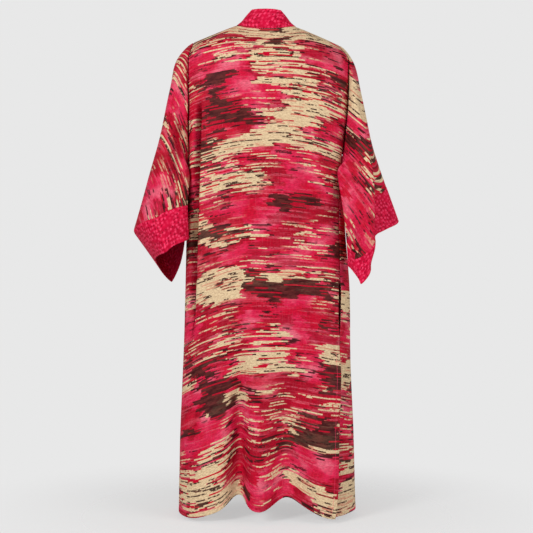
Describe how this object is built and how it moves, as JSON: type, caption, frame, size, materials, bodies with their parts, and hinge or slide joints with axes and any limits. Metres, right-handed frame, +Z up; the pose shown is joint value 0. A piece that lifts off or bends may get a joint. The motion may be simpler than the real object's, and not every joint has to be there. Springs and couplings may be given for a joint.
{
  "type": "kimono robe",
  "caption": "Long loose kimono robe of streaked crimson cloth with wide sleeves, contrast cuffs and collar band, shaped as if worn.",
  "frame": {"origin": "midway between the points where the collar meets the two shoulder seams, on the wearer's shoulders", "axes": "+Z up, the front faces -Y and the wearer's left is +X"},
  "size_m": [0.6638, 0.2799, 1.2403],
  "materials": {
    "streaked_cloth": "soft satin weave, printed in streaks of crimson, pink, cream and brown",
    "trim_cloth": "soft satin weave, crimson pink with a small darker motif"
  },
  "bodies": {
    "root": {"back": "streaked_cloth", "front_left": "streaked_cloth", "front_right": "streaked_cloth", "collar_band": "trim_cloth", "sleeve_left": "streaked_cloth", "sleeve_right": "streaked_cloth", "cuff_left": "trim_cloth", "cuff_right": "trim_cloth", "pocket_left": "streaked_cloth", "pocket_right": "streaked_cloth"}
  },
  "joints": []
}
